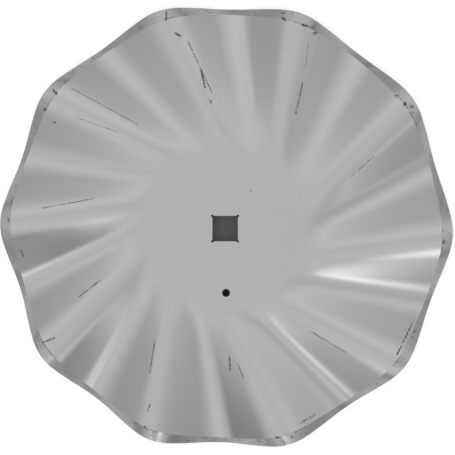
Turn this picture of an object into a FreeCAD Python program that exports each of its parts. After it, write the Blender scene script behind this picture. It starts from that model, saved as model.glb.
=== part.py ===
"""Wavy harrow disc blade: one steel blank, pressed hot into ten swept flutes round a flat centre.

Frame: millimetres, +Z up along the axle, origin on the axle's axis at mid-thickness of the flat centre.
The bevelled (front) side faces +Z, and the hanging hole is towards -Y.

How the form is made. Each flute runs along a straight line, a ruling, that is tangent to a small sweep
circle round the axle. Its height is nil where the flutes start, grows fast over their rounded noses, then
evenly out to the rim, so the flutes are tapered and swept. Across the flutes the middle of the plate is a
wave of rounded crests and troughs joined by straight flanks. Both faces lie half a plate thickness from
that middle, square to it.
"""

import FreeCAD, Part  # noqa: E401  FreeCAD comes first, because Part cannot load without it
import Sketcher
import math
import os

POINTS_PER_FLUTE = 16  # points of each ring that the skins run through, for every flute
FACES_PER_FLUTE = 20   # narrow faces side by side, which keep the meshed blade light
ROWS_IN_START = 2      # rings across the part of the flutes that steepens, from the flat centre
ROWS_IN_EASE = 2       # rings across the part after it, which eases to the even slope
ROWS_IN_FLUTE = 3      # rings along the rest of the flutes, which is straight
SETTLING_PASSES = 40   # passes that settle the control points of a ring, far past any visible error

SIZES = {  # millimetres, degrees or plain shares
    "disc_diameter": 558.8,      # rim, over the crests at mid-plate
    "plate_thickness": 6.35,     # rolled plate
    "flute_count": 10,           # flutes round the blade
    "flute_rise": 21.0,          # mid-plate, from the flat centre to a crest or a trough at the rim
    "flute_start_radius": 94.0,  # where the flat centre ends
    "flute_start_share": 0.13,   # share of a flute's length in which it steepens, from the flat
    "flute_ease_share": 0.13,    # share of it after that, in which it eases to its even slope
    "flute_nose_slope": 1.5,     # steepest slope, between those two, over the even slope
    "sweep_circle_radius": 47.5,  # circle that every flute is tangent to
    "flute_index_angle": -1.5,   # direction of the first crest at the rim
    "crest_share": 0.3,          # share of a half wave that the rounded crest takes
    "trough_share": 0.305,       # share of a half wave that the rounded trough takes
    "rim_draw": 0.7,             # how far pressing draws the rim in on the flanks
    "bevel_width_crest": 13.5,   # ground cutting bevel, along the plate, on a crest
    "bevel_width_trough": 9.0,   # the same in a trough
    "edge_thickness": 1.2,       # flat left at the cutting edge
    "axle_square": 32.0,         # square hole, across its flats
    "corner_relief_radius": 1.6,  # relief in each corner of the square hole
    "hang_hole_diameter": 10.0,  # round hole that the blade hangs by
    "hang_hole_offset": 81.0,    # from the axle's axis to that hole
    "hang_hole_angle": -89.2,    # direction of that hole
}


def make_sheet(doc):
    """The spreadsheet that every feature takes its sizes from."""
    sheet = doc.addObject("Spreadsheet::Sheet", "sizes")
    for line, (alias, value) in enumerate(SIZES.items(), start=1):
        sheet.set(f"A{line}", alias)
        sheet.set(f"B{line}", str(value))
        sheet.setAlias(f"B{line}", alias)
    doc.recompute()
    return sheet


def wave(turn, crest_share, trough_share):
    """Height of the wave, 1 on a crest to -1 in a trough, and its slope, at a turn of 0 to 1 from a crest."""
    signed = (turn + 0.5) % 1.0 - 0.5
    half = abs(signed) * 2.0
    steepest = 2.0 / (1.0 - crest_share / 2.0 - trough_share / 2.0)
    if half < crest_share:
        height = 1.0 - steepest * half**2 / (2.0 * crest_share)
        fall = steepest * half / crest_share
    elif half < 1.0 - trough_share:
        height = 1.0 - steepest * (half - crest_share / 2.0)
        fall = steepest
    else:
        height = -1.0 + steepest * (1.0 - half) ** 2 / (2.0 * trough_share)
        fall = steepest * (1.0 - half) / trough_share
    return height, -fall * 2.0 * math.copysign(1.0, signed)


class Flutes:
    """The pressed form, from the sheet's sizes. Rulings are counted by the points of a ring."""

    def __init__(self, sheet):
        self.size = sheet
        self.count = int(round(sheet.flute_count))
        self.points = self.count * POINTS_PER_FLUTE
        self.sweep = sheet.sweep_circle_radius
        self.rim = sheet.disc_diameter / 2.0
        self.start = self.reach_at(sheet.flute_start_radius)
        self.full = self.reach_at(self.rim)
        lead = math.asin(self.sweep / self.rim) - math.pi / 2.0
        self.first_ruling = math.radians(sheet.flute_index_angle) + lead

    def reach_at(self, radius):
        """Distance along a ruling, from the sweep circle out to a radius."""
        return math.sqrt(radius**2 - self.sweep**2)

    def rise(self, reach):
        """How far a crest stands above the flat, and how fast that grows, at a reach along a ruling."""
        start = self.size.flute_start_share
        ease = self.size.flute_ease_share
        nose = self.size.flute_nose_slope
        along = (reach - self.start) / (self.full - self.start)
        steepened = min(along, start)
        eased = min(max(along - start, 0.0), ease)
        even = max(along - start - ease, 0.0)
        slope = nose * steepened / start - (nose - 1.0) * eased / ease
        height = nose * steepened**2 / (2.0 * start) + (nose + slope) * eased / 2.0 + even
        whole = (nose * start + (nose + 1.0) * ease) / 2.0 + 1.0 - start - ease
        scale = self.size.flute_rise / whole
        return height * scale, slope * scale / (self.full - self.start)

    def point(self, index, reach, offset):
        """The point on ruling `index`, `reach` along it, `offset` off mid-plate along the plate's normal."""
        turn = index / POINTS_PER_FLUTE
        angle = self.first_ruling + 2.0 * math.pi * turn / self.count
        form, form_slope = wave(turn, self.size.crest_share, self.size.trough_share)
        rise, rise_slope = self.rise(reach)
        middle = FreeCAD.Vector(self.sweep * math.cos(angle) - reach * math.sin(angle),
                                self.sweep * math.sin(angle) + reach * math.cos(angle), rise * form)
        along = FreeCAD.Vector(-math.sin(angle), math.cos(angle), rise_slope * form)
        across = FreeCAD.Vector(-middle.y, middle.x, rise * form_slope * self.count / (2.0 * math.pi))
        return middle + along.cross(across).normalize() * offset

    def rim_reach(self, index):
        """Reach of ruling `index` at the rim, which pressing draws in on the flanks."""
        swing = math.cos(4.0 * math.pi * index / POINTS_PER_FLUTE)
        return self.reach_at(self.rim - self.size.rim_draw * (1.0 - swing) / 2.0)

    def bevel_reach(self, index):
        """Reach of ruling `index` where the bevel starts: it is ground wider on a crest than in a trough."""
        swing = (1.0 + math.cos(2.0 * math.pi * index / POINTS_PER_FLUTE)) / 2.0
        trough = self.size.bevel_width_trough
        return self.rim_reach(index) - trough - (self.size.bevel_width_crest - trough) * swing

    def ring(self, reach_of, offset):
        """Control points of the smooth closed ring that runs through one point on every ruling."""
        through = [self.point(index, reach_of(index), offset) for index in range(self.points)]
        poles = list(through)
        for _ in range(SETTLING_PASSES):
            poles = [(through[i] * 6.0 - poles[i - 1] - poles[(i + 1) % self.points]) * 0.25
                     for i in range(self.points)]
        return poles

    def skin_rings(self, end_of, offset):
        """Rings from the flat centre out to `end_of`, and the share of the way out that each is at."""
        start, ease = self.size.flute_start_share, self.size.flute_ease_share
        rest = 1.0 - start - ease
        shares = [start * row / ROWS_IN_START for row in range(ROWS_IN_START)]
        shares += [start + ease * row / ROWS_IN_EASE for row in range(ROWS_IN_EASE)]
        shares += [start + ease + rest * row / ROWS_IN_FLUTE for row in range(ROWS_IN_FLUTE + 1)]
        rings = [self.ring(lambda index, at=at: self.start + (end_of(index) - self.start) * at, offset)
                 for at in shares]
        return rings, shares


def faces_through(rings, shares):
    """Narrow faces round the blade through the rings, which are at the given shares of the way across."""
    grid = []
    for column in zip(*rings):
        curve = Part.BSplineCurve()
        curve.interpolate(Points=list(column), Parameters=shares)
        grid.append(curve.getPoles())
    points = len(grid)
    surface = Part.BSplineSurface()
    surface.buildFromPolesMultsKnots(grid, [1] * (points + 1), curve.getMultiplicities(),
                                     [float(index) for index in range(points + 1)], curve.getKnots(),
                                     True, False, 3, curve.Degree)
    width = POINTS_PER_FLUTE / FACES_PER_FLUTE
    faces = []
    for number in range(points // POINTS_PER_FLUTE * FACES_PER_FLUTE):
        strip = surface.copy()
        strip.segment(number * width, (number + 1) * width, shares[0], shares[-1])
        faces.append(strip.toShape())
    return faces


def outermost(edge):
    """How far an edge reaches from the axle's axis."""
    return max(math.hypot(vertex.X, vertex.Y) for vertex in edge.Vertexes)


def flat_centre(skin):
    """The flat face that closes the middle of a skin, along the innermost edge of each narrow face."""
    inner = [min(face.Edges, key=outermost) for face in skin]
    return Part.Face(Part.Wire(Part.__sortEdges__(inner)))


def pressed_plate(sheet):
    """The pressed and bevelled plate as one solid, before its holes are cut."""
    flutes = Flutes(sheet)
    half = sheet.plate_thickness / 2.0
    front_rings, front_shares = flutes.skin_rings(flutes.bevel_reach, half)
    rear_rings, rear_shares = flutes.skin_rings(flutes.rim_reach, -half)
    edge_ring = flutes.ring(flutes.rim_reach, sheet.edge_thickness - half)
    front = faces_through(front_rings, front_shares)
    rear = faces_through(rear_rings, rear_shares)
    bevel = faces_through([front_rings[-1], edge_ring], [0.0, 1.0])
    edge = faces_through([edge_ring, rear_rings[-1]], [0.0, 1.0])
    shell = Part.makeShell(front + bevel + edge + rear + [flat_centre(front), flat_centre(rear)])
    shell.sewShape()
    solid = Part.makeSolid(Part.Shell(shell.Faces))
    if solid.Volume < 0:
        solid.reverse()
    return solid


def centre_sketch(body, name):
    """An empty sketch in the middle plane of the flat centre."""
    sketch = body.newObject("Sketcher::SketchObject", name)
    plane = next(feature for feature in body.Origin.OriginFeatures if feature.Role == "XY_Plane")
    sketch.AttachmentSupport = [(plane, "")]
    sketch.MapMode = "FlatFace"
    return sketch


def add_circle(sketch, radius, across, up):
    """A circle in a sketch, with its radius and its centre's place bound to the sheet by expressions."""
    circle = sketch.addGeometry(Part.Circle(FreeCAD.Vector(1, 1, 0), FreeCAD.Vector(0, 0, 1), 1.0))
    places = (("Radius", (circle, 1.0), radius),
              ("DistanceX", (-1, 1, circle, 3, 1.0), across),
              ("DistanceY", (-1, 1, circle, 3, 1.0), up))
    for kind, geometry, expression in places:
        number = sketch.addConstraint(Sketcher.Constraint(kind, *geometry))
        sketch.setExpression(f"Constraints[{number}]", expression)


def add_centred_square(sketch, side):
    """A square about the sketch's origin, with its side bound to the sheet by an expression."""
    corners = [FreeCAD.Vector(x, y, 0) for x, y in ((-1, -1), (1, -1), (1, 1), (-1, 1))]
    lines = [sketch.addGeometry(Part.LineSegment(corners[i], corners[(i + 1) % 4])) for i in range(4)]
    for i in range(4):
        sketch.addConstraint(Sketcher.Constraint("Coincident", lines[i], 2, lines[(i + 1) % 4], 1))
        sketch.addConstraint(Sketcher.Constraint("Vertical" if i % 2 else "Horizontal", lines[i]))
    sketch.addConstraint(Sketcher.Constraint("Symmetric", lines[0], 1, lines[2], 1, -1, 1))
    for kind, line in (("DistanceX", lines[0]), ("DistanceY", lines[1])):
        number = sketch.addConstraint(Sketcher.Constraint(kind, line, 1, line, 2, 2.0))
        sketch.setExpression(f"Constraints[{number}]", side)


def cut_through(body, name, sketch):
    """A pocket that cuts the sketch's outline right through the plate."""
    pocket = body.newObject("PartDesign::Pocket", name)
    pocket.Profile = sketch
    pocket.SideType = "Symmetric"
    pocket.setExpression("Length", "sizes.plate_thickness * 2")
    pocket.Refine = False
    return pocket


def make_blade(doc, sheet):
    """The finished blade: the pressed plate with the axle's square hole and the hanging hole."""
    plate = doc.addObject("Part::Feature", "pressed_plate")
    plate.Shape = pressed_plate(sheet)
    body = doc.addObject("PartDesign::Body", "disc_blade")
    body.BaseFeature = plate
    doc.recompute()

    outline = centre_sketch(body, "axle_square_outline")
    add_centred_square(outline, "sizes.axle_square")
    cut_through(body, "axle_hole", outline)

    corner = centre_sketch(body, "corner_relief_outline")
    add_circle(corner, "sizes.corner_relief_radius", "sizes.axle_square / 2", "sizes.axle_square / 2")
    relief = cut_through(body, "corner_relief", corner)
    doc.recompute()
    corners = body.newObject("PartDesign::PolarPattern", "corner_reliefs")
    corners.Originals = [relief]
    corners.Axis = (corner, ["N_Axis"])
    corners.Occurrences = 4
    corners.Refine = False
    body.Tip = corners

    hang = centre_sketch(body, "hang_hole_outline")
    add_circle(hang, "sizes.hang_hole_diameter / 2",
               "sizes.hang_hole_offset * cos(sizes.hang_hole_angle * 1 deg)",
               "sizes.hang_hole_offset * sin(sizes.hang_hole_angle * 1 deg)")
    body.Tip = cut_through(body, "hang_hole", hang)
    doc.recompute()
    return body


def main():
    doc = FreeCAD.newDocument("harrow_disc_blade")
    sheet = make_sheet(doc)
    blade = make_blade(doc, sheet)
    for item in doc.Objects:
        if "Invalid" in item.State or "Error" in item.State:
            raise RuntimeError(f"{item.Name} failed: {item.State}")
    if blade.Shape.isNull() or not blade.Shape.isValid() or len(blade.Shape.Solids) != 1:
        raise RuntimeError(f"{blade.Label} is not one valid solid")
    os.makedirs("parts", exist_ok=True)
    blade.Shape.exportStep(f"parts/{blade.Label}.step")
    print(f"{blade.Label}: {blade.Shape.Volume / 1e6:.4f} litres, {len(blade.Shape.Faces)} faces")


main()
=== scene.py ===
"""Wavy harrow disc blade: a hot-pressed steel disc, painted silver, lying on a pale studio floor."""

import math

import bpy
from mathutils import Matrix, Vector


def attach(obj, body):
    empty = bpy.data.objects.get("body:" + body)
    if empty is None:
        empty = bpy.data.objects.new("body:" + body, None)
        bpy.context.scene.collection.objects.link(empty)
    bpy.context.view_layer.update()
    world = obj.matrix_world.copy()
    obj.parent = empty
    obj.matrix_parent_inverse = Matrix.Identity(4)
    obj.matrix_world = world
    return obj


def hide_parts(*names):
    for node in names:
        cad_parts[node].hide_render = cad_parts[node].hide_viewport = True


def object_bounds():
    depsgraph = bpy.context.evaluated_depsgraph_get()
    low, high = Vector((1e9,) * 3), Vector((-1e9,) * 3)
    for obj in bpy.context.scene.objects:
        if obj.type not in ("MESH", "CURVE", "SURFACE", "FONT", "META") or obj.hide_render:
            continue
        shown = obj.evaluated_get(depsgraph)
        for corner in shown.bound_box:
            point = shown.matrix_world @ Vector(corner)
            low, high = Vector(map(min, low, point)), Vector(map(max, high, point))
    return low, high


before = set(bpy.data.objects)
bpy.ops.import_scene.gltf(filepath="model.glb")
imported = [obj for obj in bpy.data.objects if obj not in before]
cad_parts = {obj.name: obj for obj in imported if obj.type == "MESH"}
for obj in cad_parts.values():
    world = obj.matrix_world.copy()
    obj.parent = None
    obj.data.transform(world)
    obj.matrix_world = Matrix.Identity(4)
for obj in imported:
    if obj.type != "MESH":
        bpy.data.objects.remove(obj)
cad_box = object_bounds()


# ---------------------------------------------------------------------------------------------------
# The blade. One blank of steel plate, pressed hot into ten swept, tapered flutes round a flat centre.
# Its front side is ground to a bevel all round, and two holes are punched in it: a square one for the
# axle that it is clamped on, and a small round one that it hangs by while it is painted.
# ---------------------------------------------------------------------------------------------------

MM = 0.001
BLADE_SIZES = {                      # metres, radians or plain shares
    "Rim radius": 279.39 * MM,
    "Plate": 6.35 * MM,
    "Flutes": 10.0,
    "Rise": 20.99 * MM,
    "Flat radius": 94.0 * MM,
    "Start share": 0.13,
    "Ease share": 0.13,
    "Nose slope": 1.5,
    "Sweep radius": 47.5 * MM,
    "Index angle": math.radians(-1.5),
    "Crest share": 0.3,
    "Trough share": 0.305,
    "Rim draw": 0.7 * MM,
    "Crest bevel": 13.5 * MM,
    "Trough bevel": 9.0 * MM,
    "Edge": 1.2 * MM,
    "Axle square": 32.0 * MM,
    "Corner relief": 1.6 * MM,
    "Hang hole radius": 5.0 * MM,
    "Hang hole offset": 81.0 * MM,
    "Hang hole angle": math.radians(-89.2),
}
COLUMNS_PER_FLUTE = 48
HUB_ROWS, SKIN_ROWS, BEVEL_ROWS, EDGE_ROWS = 6, 50, 6, 3
INNER_SHARE = 0.1                    # the flat centre is drawn in this far, inside the square hole
PUNCH_LENGTH = 40.0 * MM
PUNCH_SIDES = 64                     # of each round punch
SEAM_GAP = 0.001 * MM                # points this near each other are joined
CREASE_ANGLE = math.radians(12.0)    # edges that bend more than this are sharp


def fill(tree, node, links):
    """Give a node its inputs: links pair an input with a Value, a socket or a plain value."""
    for slot, value in links:
        source = value.socket if isinstance(value, Value) else value
        if isinstance(source, bpy.types.NodeSocket):
            tree.links.new(source, node.inputs[slot])
        else:
            node.inputs[slot].default_value = source


def add(tree, kind, links=(), **settings):
    """A new node with the given settings, and with its inputs filled."""
    node = tree.nodes.new(kind)
    for name, value in settings.items():
        setattr(node, name, value)
    fill(tree, node, links)
    return node


def reckon(tree, operation, *values):
    """A Math node on numbers or Values, as a new Value."""
    node = add(tree, "ShaderNodeMath", enumerate(values), operation=operation)
    return Value(tree, node.outputs[0])


class Value:
    """A number in a node tree, so that the blade's formulas can be written as sums."""

    def __init__(self, tree, socket):
        self.tree = tree
        self.socket = socket

    def __add__(self, other):
        return reckon(self.tree, "ADD", self, other)

    def __radd__(self, other):
        return reckon(self.tree, "ADD", other, self)

    def __sub__(self, other):
        return reckon(self.tree, "SUBTRACT", self, other)

    def __rsub__(self, other):
        return reckon(self.tree, "SUBTRACT", other, self)

    def __mul__(self, other):
        return reckon(self.tree, "MULTIPLY", self, other)

    def __rmul__(self, other):
        return reckon(self.tree, "MULTIPLY", other, self)

    def __truediv__(self, other):
        return reckon(self.tree, "DIVIDE", self, other)

    def __rtruediv__(self, other):
        return reckon(self.tree, "DIVIDE", other, self)

    def apply(self, operation, *others):
        """Any other Math operation on this number."""
        return reckon(self.tree, operation, self, *others)

    def between(self, low, high):
        return self.apply("MAXIMUM", low).apply("MINIMUM", high)


def vector(tree, *parts):
    """A vector from three numbers or Values, as a socket."""
    return add(tree, "ShaderNodeCombineXYZ", enumerate(parts)).outputs[0]


def vector_step(tree, operation, *vectors, scale=None):
    """A Vector Math node on vectors, scaled where a scale is given, as a socket."""
    node = add(tree, "ShaderNodeVectorMath", enumerate(vectors), operation=operation)
    if scale is not None:
        fill(tree, node, (("Scale", scale),))
    return node.outputs["Vector"]


def measure(tree, operation, *vectors):
    """The length of a vector or the dot product of two, as a Value."""
    node = add(tree, "ShaderNodeVectorMath", enumerate(vectors), operation=operation)
    return Value(tree, node.outputs["Value"])


def wave_form(turn, crest, trough):
    """Height of the wave, 1 on a crest to -1 in a trough, and how it grows with each turn."""
    half = turn.apply("PINGPONG", 0.5) * 2.0
    steepest = 2.0 / (1.0 - crest * 0.5 - trough * 0.5)
    on_crest = half.apply("MINIMUM", crest)
    past_crest = (half - crest).apply("MAXIMUM", 0.0)
    in_trough = (half - 1.0 + trough).apply("MAXIMUM", 0.0)
    fallen = on_crest * on_crest / (crest * 2.0) + past_crest - in_trough * in_trough / (trough * 2.0)
    fall = (half / crest).apply("MINIMUM", (1.0 - half) / trough).apply("MINIMUM", 1.0)
    side = (0.5 - turn.apply("FRACT")).apply("SIGN")
    return 1.0 - steepest * fallen, steepest * fall * side * -2.0


def pressed_blade_tree():
    """The blade as a node tree: a grid whose columns follow the rulings and whose rows follow the section."""
    tree = bpy.data.node_groups.new("pressed_blade", "GeometryNodeTree")
    for name in BLADE_SIZES:
        tree.interface.new_socket(name, in_out="INPUT", socket_type="NodeSocketFloat")
    tree.interface.new_socket("Paint", in_out="INPUT", socket_type="NodeSocketMaterial")
    tree.interface.new_socket("Geometry", in_out="OUTPUT", socket_type="NodeSocketGeometry")
    inputs = tree.nodes.new("NodeGroupInput")
    size = {name: Value(tree, inputs.outputs[name]) for name in BLADE_SIZES}
    sweep = size["Sweep radius"]

    rows = 2 * HUB_ROWS + 2 * SKIN_ROWS + BEVEL_ROWS + EDGE_ROWS + 1
    columns = COLUMNS_PER_FLUTE * int(BLADE_SIZES["Flutes"])
    grid = add(tree, "GeometryNodeMeshGrid", (("Vertices X", columns + 1), ("Vertices Y", rows + 1)))
    # half a step is added to the index, so that rounding can't move a point to the next column
    index = Value(tree, tree.nodes.new("GeometryNodeInputIndex").outputs[0]) + 0.5
    column = (index / float(rows + 1)).apply("FLOOR")
    row = index - 0.5 - column * float(rows + 1)

    def reach_at(radius):
        """Distance to this radius along a ruling, from where the ruling touches the sweep circle."""
        return (radius * radius - sweep * sweep).apply("SQRT")

    passed = 0

    def share_of(count):
        """How far the row has come through the next `count` rows of the section."""
        nonlocal passed
        share = ((row - float(passed)) / float(count)).between(0.0, 1.0)
        passed += count
        return share

    # the section in order: out over the hub and the front, round the rim, and back in to close it
    hub_out = share_of(HUB_ROWS)
    front = share_of(SKIN_ROWS)
    bevel = share_of(BEVEL_ROWS)
    edge = share_of(EDGE_ROWS)
    rear = share_of(SKIN_ROWS)
    hub_in = share_of(HUB_ROWS)
    bore = share_of(1)

    turn = column / float(COLUMNS_PER_FLUTE)
    phase = turn * math.tau
    start = reach_at(size["Flat radius"])
    full = reach_at(size["Rim radius"])
    drawn_in = size["Rim draw"] * (1.0 - (phase * 2.0).apply("COSINE")) * 0.5
    rim = reach_at(size["Rim radius"] - drawn_in)
    crest_swing = (phase.apply("COSINE") + 1.0) * 0.5
    bevel_width = size["Trough bevel"] + (size["Crest bevel"] - size["Trough bevel"]) * crest_swing
    # the row's distance along the ruling, and its offset from the middle of the plate
    reach = start + (rim - bevel_width - start) * front + bevel_width * bevel - (rim - start) * rear
    offset = size["Plate"] * (0.5 + bore) - (size["Plate"] - size["Edge"]) * bevel - size["Edge"] * edge
    shrink = INNER_SHARE + (1.0 - INNER_SHARE) * (hub_out - hub_in)

    # the rise along a flute: a rounded nose, an easing out of it, and an even slope to the rim
    start_share, ease_share, nose = size["Start share"], size["Ease share"], size["Nose slope"]
    along_share = (reach - start) / (full - start)
    steepened = along_share.between(0.0, start_share)
    eased = (along_share - start_share).between(0.0, ease_share)
    even = (along_share - start_share - ease_share).apply("MAXIMUM", 0.0)
    slope = nose * steepened / start_share - (nose - 1.0) * eased / ease_share
    height = nose * steepened * steepened / (start_share * 2.0) + (nose + slope) * eased * 0.5 + even
    whole = (nose * start_share + (nose + 1.0) * ease_share) * 0.5 + 1.0 - start_share - ease_share
    rise = height * size["Rise"] / whole
    rise_slope = slope * size["Rise"] / whole / (full - start)

    angle = size["Index angle"] + (sweep / size["Rim radius"]).apply("ARCSINE") - math.pi / 2.0
    angle = angle + phase / size["Flutes"]
    sine, cosine = angle.apply("SINE"), angle.apply("COSINE")
    form, form_slope = wave_form(turn, size["Crest share"], size["Trough share"])
    x = sweep * cosine - reach * sine
    y = sweep * sine + reach * cosine
    along = vector(tree, sine * -1.0, cosine, rise_slope * form)
    across = vector(tree, y * -1.0, x, rise * form_slope * size["Flutes"] / math.tau)
    normal = vector_step(tree, "NORMALIZE", vector_step(tree, "CROSS_PRODUCT", along, across))
    middle = vector(tree, x * shrink, y * shrink, rise * form)
    place = vector_step(tree, "ADD", middle, vector_step(tree, "SCALE", normal, scale=offset))

    placed = add(tree, "GeometryNodeSetPosition", (("Geometry", grid.outputs["Mesh"]), ("Position", place)))
    told = placed
    for name, value in (("ground", bevel), ("edge", edge), ("crest", crest_swing)):
        told = add(tree, "GeometryNodeStoreNamedAttribute",
                   (("Geometry", told.outputs[0]), ("Name", name), ("Value", value)),
                   data_type="FLOAT", domain="POINT")
    joined = add(tree, "GeometryNodeMergeByDistance",
                 (("Geometry", told.outputs[0]), ("Distance", SEAM_GAP)))
    turned = add(tree, "GeometryNodeFlipFaces", (("Mesh", joined.outputs[0]),))

    def punch(shape, x, y):
        """A punch that stands right through the plate at x, y."""
        position = vector(tree, x, y, 0.0)
        return add(tree, "GeometryNodeTransform", (("Geometry", shape), ("Translation", position)))

    def round_punch(radius, x, y):
        shape = add(tree, "GeometryNodeMeshCylinder",
                    (("Vertices", PUNCH_SIDES), ("Radius", radius), ("Depth", PUNCH_LENGTH)))
        return punch(shape.outputs["Mesh"], x, y)

    square = size["Axle square"]
    square_size = vector(tree, square, square, PUNCH_LENGTH)
    punches = [punch(add(tree, "GeometryNodeMeshCube", (("Size", square_size),)).outputs["Mesh"], 0.0, 0.0)]
    # each corner of the square is relieved by a small round punch
    for x_side in (-0.5, 0.5):
        for y_side in (-0.5, 0.5):
            punches.append(round_punch(size["Corner relief"], square * x_side, square * y_side))
    hang_angle = size["Hang hole angle"]
    hang_x = size["Hang hole offset"] * hang_angle.apply("COSINE")
    hang_y = size["Hang hole offset"] * hang_angle.apply("SINE")
    punches.append(round_punch(size["Hang hole radius"], hang_x, hang_y))
    punched = add(tree, "GeometryNodeMeshBoolean", (("Mesh 1", turned.outputs[0]),),
                  operation="DIFFERENCE", solver="EXACT")
    for tool in punches:
        tree.links.new(tool.outputs[0], punched.inputs["Mesh 2"])
    bend = Value(tree, tree.nodes.new("GeometryNodeInputMeshEdgeAngle").outputs["Unsigned Angle"])
    smooth = add(tree, "GeometryNodeSetShadeSmooth",
                 (("Geometry", punched.outputs["Mesh"]), ("Shade Smooth", True)), domain="FACE")
    creased = add(tree, "GeometryNodeSetShadeSmooth",
                  (("Geometry", smooth.outputs[0]),
                   ("Shade Smooth", bend.apply("LESS_THAN", CREASE_ANGLE))), domain="EDGE")
    real = add(tree, "GeometryNodeRealizeInstances", (("Geometry", creased.outputs[0]),))
    painted = add(tree, "GeometryNodeSetMaterial",
                  (("Geometry", real.outputs[0]), ("Material", inputs.outputs["Paint"])))
    add(tree, "NodeGroupOutput", ((0, painted.outputs[0]),))
    return tree


def grown(name, tree, values):
    """A plain mesh object made by a node tree whose inputs have the given values."""
    maker = bpy.data.objects.new(name, bpy.data.meshes.new(name))
    bpy.context.scene.collection.objects.link(maker)
    modifier = maker.modifiers.new("maker", "NODES")
    modifier.node_group = tree
    for item in tree.interface.items_tree:
        if item.in_out == "INPUT":
            modifier[item.identifier] = values[item.name]
    bpy.context.view_layer.update()
    seen = maker.evaluated_get(bpy.context.evaluated_depsgraph_get())
    mesh = bpy.data.meshes.new_from_object(seen)
    maker.modifiers.clear()
    maker.data = mesh
    return maker


SILVER = (0.445, 0.441, 0.440)       # aluminium paint over steel
SCUFF = (0.07, 0.066, 0.062)         # rubbed through to dark scale
METALLIC = 0.9
GLOSS = 0.2                          # roughness of the sound paint
BEVEL_SHADE = 0.95                   # the ground bevel's paint is thinner and darker
SHADE, MOTTLE_SHADE, SPECK_SHADE = 0.965, 0.05, 0.05
MOTTLE_ROUGHNESS, BEVEL_ROUGHNESS, WORN_ROUGHNESS = 0.04, 0.06, 0.3
PEEL_STRENGTH, PEEL_HEIGHT = 0.12, 0.1 * MM

# the paint's noises: scale per metre, detail and roughness
MOTTLE = (28.0, 4.0, 0.5)
BLOTCH = (95.0, 3.0, 0.6)
SPECK = (520.0, 3.0, 0.6)
PEEL = (700.0, 2.0, 0.5)

# smooth steps: where each one starts and where it is full
BEVEL_START, BEVEL_END = (0.005, 0.03), (0.97, 0.995)
EDGE_MIDDLE = (0.2, 0.9)
LINE_START, LINE_END, LINE_CREST = (0.0, 0.02), (0.03, 0.12), (0.55, 0.9)

# how each kind of mark is broken up: the share of the finer noise in it, and its smooth step
RUB_BREAKS = (0.6, 0.43, 0.5)
LINE_BREAKS = (0.0, 0.46, 0.56)
CHIP_BREAKS = (0.5, 0.56, 0.64)
LINE_WEAR, CHIP_WEAR, EDGE_WEAR = 0.7, 0.75, 0.8

RUB_WAVER = 1.6                      # the range over which noise moves a rub's sides, in widths
RUBS = (
    # from (direction in degrees, millimetres from the axle) to the same, and the width in millimetres
    (26.0, 204, 22.5, 170, 0.8), (34.5, 266, 35.0, 268, 2.4), (37.5, 266, 38.0, 264, 2.0),
    (62.0, 204, 58.5, 168, 1.2), (66.0, 252, 63.5, 222, 0.5), (65.0, 265, 65.6, 263, 2.2),
    (68.0, 267, 69.0, 266, 2.4), (74.0, 266, 74.6, 268, 2.2), (101.0, 234, 95.5, 170, 0.9),
    (98.5, 198, 98.0, 177, 1.9), (96.6, 162, 96.3, 157, 1.4), (103.0, 243, 104.0, 247, 2.2),
    (105.0, 276, 105.6, 265, 1.6), (137.5, 258, 130.0, 170, 0.6), (141.0, 272, 141.2, 265, 2.0),
    (146.0, 266, 146.6, 268, 2.0), (148.0, 250, 148.3, 252, 1.6), (143.0, 228, 138.0, 180, 0.4),
    (173.5, 228, 167.0, 168, 0.8), (177.0, 269, 178.0, 268, 1.8), (212.0, 267, 212.6, 252, 1.6),
    (205.0, 202, 202.5, 170, 1.1), (248.0, 266, 248.5, 267, 2.2), (247.0, 246, 247.0, 238, 1.2),
    (242.5, 204, 238.0, 167, 1.0), (284.0, 266, 284.6, 267, 2.2), (277.0, 189, 275.5, 170, 1.0),
    (272.0, 178, 272.0, 162, 1.7), (324.0, 262, 333.0, 264, 1.5), (314.5, 217, 310.0, 168, 0.7),
    (291.0, 260, 295.5, 261, 1.2), (186.0, 259, 188.0, 259, 1.4), (356.5, 268, 357.0, 269, 1.8),
    (56.0, 58, 56.5, 57, 0.9), (173.0, 73, 173.4, 73, 0.7), (12.0, 104, 12.3, 104, 0.7),
    (24.0, 103, 24.2, 103, 0.7),
)


def ramp_between(value, low, high):
    """A smooth step from 0 at `low` to 1 at `high`."""
    node = add(value.tree, "ShaderNodeMapRange",
               (("Value", value), ("From Min", low), ("From Max", high)),
               interpolation_type="SMOOTHSTEP")
    return Value(value.tree, node.outputs["Result"])


def grain(tree, place, scale, detail, roughness):
    """Fine-grained noise on the blade, from 0 to 1."""
    node = add(tree, "ShaderNodeTexNoise",
               (("Vector", place), ("Scale", scale), ("Detail", detail), ("Roughness", roughness)))
    return Value(tree, node.outputs["Fac"])


def attribute(tree, name):
    """A number stored on the mesh, as a Value."""
    return Value(tree, add(tree, "ShaderNodeAttribute", attribute_name=name).outputs["Fac"])


def in_plan(tree, place):
    """A place brought to z = 0, as a socket."""
    return vector_step(tree, "MULTIPLY", place, (1.0, 1.0, 0.0))


def colour_between(tree, share, low, high):
    """The colour `low` where the share is 0 and `high` where it is 1, as a socket."""
    node = add(tree, "ShaderNodeMix", (("Factor", share), ("A", low), ("B", high)), data_type="RGBA")
    return node.outputs["Result"]


def new_paint(name):
    """A new material, its node tree and its shader."""
    material = bpy.data.materials.new(name)
    material.use_nodes = True
    return material, material.node_tree, material.node_tree.nodes["Principled BSDF"]


def on_blade(direction, distance):
    """A point in plan from its direction in degrees and its distance from the axle in millimetres."""
    turn = math.radians(direction)
    return Vector((math.cos(turn), math.sin(turn), 0.0)) * distance * MM


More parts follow.
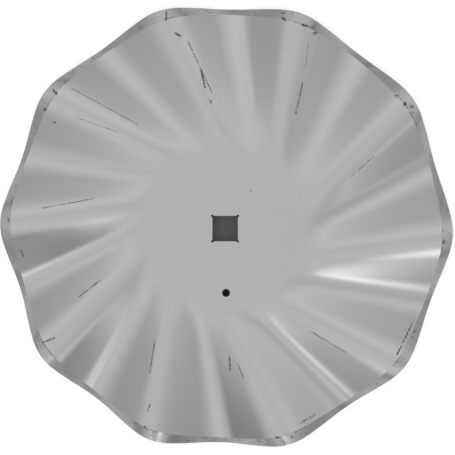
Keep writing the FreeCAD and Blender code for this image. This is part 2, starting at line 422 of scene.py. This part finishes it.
def rub_group():
    """How strongly one rub shows: 1 along a straight line in plan, falling to 0 at its width."""
    tree = bpy.data.node_groups.new("rub", "ShaderNodeTree")
    for name in ("Place", "From", "Along"):
        tree.interface.new_socket(name, in_out="INPUT", socket_type="NodeSocketVector")
    for name in ("Width", "Waver"):
        tree.interface.new_socket(name, in_out="INPUT", socket_type="NodeSocketFloat")
    tree.interface.new_socket("Rub", in_out="OUTPUT", socket_type="NodeSocketFloat")
    inputs = tree.nodes.new("NodeGroupInput").outputs
    along = inputs["Along"]
    offset = vector_step(tree, "SUBTRACT", in_plan(tree, inputs["Place"]), inputs["From"])
    share = measure(tree, "DOT_PRODUCT", offset, along) / measure(tree, "DOT_PRODUCT", along, along)
    nearest = vector_step(tree, "SCALE", along, scale=share.between(0.0, 1.0))
    gap = measure(tree, "LENGTH", vector_step(tree, "SUBTRACT", offset, nearest))
    width = Value(tree, inputs["Width"])
    strayed = gap + (Value(tree, inputs["Waver"]) - 0.5) * width * RUB_WAVER
    rub = 1.0 - (strayed / width).between(0.0, 1.0).apply("POWER", 2.0)
    add(tree, "NodeGroupOutput", ((0, rub),))
    return tree


def silver_paint():
    """Semi-gloss aluminium paint, faintly mottled, worn on the bevel and rubbed along the flutes."""
    material, tree, shader = new_paint("silver_paint")
    place = tree.nodes.new("ShaderNodeTexCoord").outputs["Object"]
    mottle, blotch, speck, peel = (grain(tree, place, *noise) for noise in (MOTTLE, BLOTCH, SPECK, PEEL))
    ground, edge, crest = (attribute(tree, name) for name in ("ground", "edge", "crest"))

    def broken(fineness, low, high):
        """What is left of a mark once the noises have broken it up."""
        return ramp_between(speck * fineness + blotch * (1.0 - fineness), low, high)

    on_bevel = ramp_between(ground, *BEVEL_START) * (1.0 - ramp_between(ground, *BEVEL_END))
    on_edge = ramp_between(edge * (1.0 - edge) * 4.0, *EDGE_MIDDLE)
    rubbed = None
    group = rub_group()
    for from_direction, from_distance, to_direction, to_distance, width in RUBS:
        start = on_blade(from_direction, from_distance)
        along = on_blade(to_direction, to_distance) - start
        node = add(tree, "ShaderNodeGroup",
                   (("Place", place), ("From", start), ("Along", along),
                    ("Width", width * MM), ("Waver", blotch)), node_tree=group)
        rub = Value(tree, node.outputs[0])
        rubbed = rub if rubbed is None else rubbed.apply("MAXIMUM", rub)
    bevel_line = ramp_between(ground, *LINE_START) * (1.0 - ramp_between(ground, *LINE_END))
    bevel_line = bevel_line * ramp_between(crest, *LINE_CREST) * broken(*LINE_BREAKS)
    chips = on_bevel * broken(*CHIP_BREAKS)
    worn = rubbed * broken(*RUB_BREAKS) + bevel_line * LINE_WEAR + chips * CHIP_WEAR + on_edge * EDGE_WEAR
    worn = worn.between(0.0, 1.0)

    shade = SHADE + mottle * MOTTLE_SHADE + (speck - 0.5) * SPECK_SHADE
    shade = (1.0 - on_bevel * (1.0 - BEVEL_SHADE)) * shade
    paint = vector_step(tree, "SCALE", SILVER, scale=shade)
    roughness = GLOSS + (mottle - 0.5) * MOTTLE_ROUGHNESS + on_bevel * BEVEL_ROUGHNESS + worn * WORN_ROUGHNESS
    bump = add(tree, "ShaderNodeBump",
               (("Strength", PEEL_STRENGTH), ("Distance", PEEL_HEIGHT), ("Height", peel)))
    fill(tree, shader, (("Base Color", colour_between(tree, worn, paint, (*SCUFF, 1.0))),
                        ("Metallic", METALLIC), ("Roughness", roughness),
                        ("Normal", bump.outputs["Normal"])))
    return material


blade = grown("blade", pressed_blade_tree(), {**BLADE_SIZES, "Paint": silver_paint()})
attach(blade, "root")
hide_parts("disc_blade")


# ---------------------------------------------------------------------------------------------------
# The studio: a pale floor that the blade rests on with its ten troughs, soft light and the camera.
# A light tent is brightest overhead, with soft windows and darker flags between them.
# ---------------------------------------------------------------------------------------------------

FLOOR_SIDE = 8.0
FLOOR_COLOUR = (0.9, 0.9, 0.9)
FLOOR_ROUGHNESS, FLOOR_SPECULAR = 0.9, 0.1
FLOOR_GLOW = 0.35                    # for the camera alone: the floor is white but keeps its shadow
WHITE = (1.0, 1.0, 1.0, 1.0)
PAINTED_SHADE_UNDER_HUB = (0.25, 0.243, 0.235)     # painted shade on the floor under the flat centre, seen through its holes
HUB_RADIUS = 130.0 * MM              # of that shade
HUB_FADE = 0.8                       # share of its radius at which the shade begins to fade
WARM_SIDE = 0.025                    # warmer from -X, cooler from +X
TENT_TOP, TENT_SIDE, TENT_FALL = 0.887, 0.30, 2.99
TENT_LEAST = 0.02
SOFT_SPOTS = (
    # direction, tilt from overhead, half width, half length, all in degrees, and brightness, minus for a flag
    (-78, 55, 3.0, 8.7, 2.40), (-107, 51, 2.7, 6.9, 1.20), (-87, 56, 6.0, 8.8, -0.70),
    (-53, 69, 2.5, 16.1, -0.70), (87, 26, 36.2, 15.2, 0.24), (-24, 46, 8.5, 27.4, -0.21),
    (-58, 54, 8.0, 5.5, 0.60), (-142, 71, 4.5, 9.3, -0.40), (161, 39, 11.8, 11.8, 0.40),
    (166, 45, 14.4, 18.1, -0.39), (-113, 21, 23.2, 22.0, 0.22),
)
CAMERA_PLACE = Vector((0.02926, 0.03224, 0.9578))
CAMERA_AIM = Vector((0.0030, 0.0014, 0.0032))
FIELD_OF_VIEW = math.radians(33.27)


def toward(direction, tilt):
    """A unit vector at a direction round the axle and a tilt from overhead."""
    out = math.sin(tilt)
    return Vector((out * math.cos(direction), out * math.sin(direction), math.cos(tilt)))


def to_camera(tree):
    """1 for what the camera sees straight, and 0 for what lights the scene, as a Value."""
    return Value(tree, tree.nodes.new("ShaderNodeLightPath").outputs["Is Camera Ray"])


def light_tent():
    """The world: bright overhead, dim at the horizon, with soft windows and flags, white to the camera."""
    world = bpy.data.worlds.new("light_tent")
    world.use_nodes = True
    tree = world.node_tree
    heading = tree.nodes.new("ShaderNodeTexCoord").outputs["Generated"]

    def along(axis):
        return measure(tree, "DOT_PRODUCT", heading, axis)

    fall = (1.0 - along((0.0, 0.0, 1.0))).between(0.0, 1.0).apply("POWER", TENT_FALL)
    light = TENT_TOP + fall * (TENT_SIDE - TENT_TOP)
    for direction, tilt, width, length, brightness in SOFT_SPOTS:
        direction, tilt = math.radians(direction), math.radians(tilt)
        out = along(toward(direction, tilt + math.pi / 2.0)) / math.radians(length)
        side = along(toward(direction + math.pi / 2.0, math.pi / 2.0)) / math.radians(width)
        spot = ((out * out + side * side) * -0.5).apply("EXPONENT")
        facing = along(toward(direction, tilt)).apply("GREATER_THAN", 0.0)
        light = light + spot * facing * brightness
    light = light.apply("MAXIMUM", TENT_LEAST)
    seen = to_camera(tree)
    warmth = along((1.0, 0.0, 0.0)) * (seen - 1.0)
    tint = vector(tree, 1.0 + warmth * WARM_SIDE, 1.0, 1.0 - warmth * WARM_SIDE)
    fill(tree, tree.nodes["Background"], (("Color", tint), ("Strength", light + (1.0 - light) * seen)))
    return world


def floor_paint():
    """Matt white floor, with a shade painted into its colour under the blade's hub."""
    material, tree, shader = new_paint("studio_floor")
    place = tree.nodes.new("ShaderNodeTexCoord").outputs["Object"]
    distance = measure(tree, "LENGTH", in_plan(tree, place))
    # painted shade: within this radius of the axle the floor is darker and doesn't glow
    outside = ramp_between(distance, HUB_RADIUS * HUB_FADE, HUB_RADIUS)
    colour = colour_between(tree, outside, (*PAINTED_SHADE_UNDER_HUB, 1.0), (*FLOOR_COLOUR, 1.0))
    fill(tree, shader, (("Base Color", colour), ("Roughness", FLOOR_ROUGHNESS),
                        ("Specular IOR Level", FLOOR_SPECULAR), ("Emission Color", WHITE),
                        ("Emission Strength", to_camera(tree) * outside * FLOOR_GLOW)))
    return material


level = cad_box[0][2]
half_side = FLOOR_SIDE / 2.0
corners = [(x * half_side, y * half_side, level) for x, y in ((-1, -1), (1, -1), (1, 1), (-1, 1))]
floor_mesh = bpy.data.meshes.new("floor")
floor_mesh.from_pydata(corners, [], [(0, 1, 2, 3)])
floor_mesh.materials.append(floor_paint())
floor = bpy.data.objects.new("floor", floor_mesh)
bpy.context.scene.collection.objects.link(floor)

bpy.context.scene.world = light_tent()

camera_data = bpy.data.cameras.new("camera")
camera_data.angle = FIELD_OF_VIEW
camera = bpy.data.objects.new("camera", camera_data)
bpy.context.scene.collection.objects.link(camera)
backward = (CAMERA_PLACE - CAMERA_AIM).normalized()
right = Vector((0.0, 1.0, 0.0)).cross(backward).normalized()
turn = Matrix((right, backward.cross(right), backward)).transposed()
camera.matrix_world = Matrix.Translation(CAMERA_PLACE) @ turn.to_4x4()
bpy.context.scene.camera = camera
bpy.context.scene.view_settings.view_transform = "Standard"
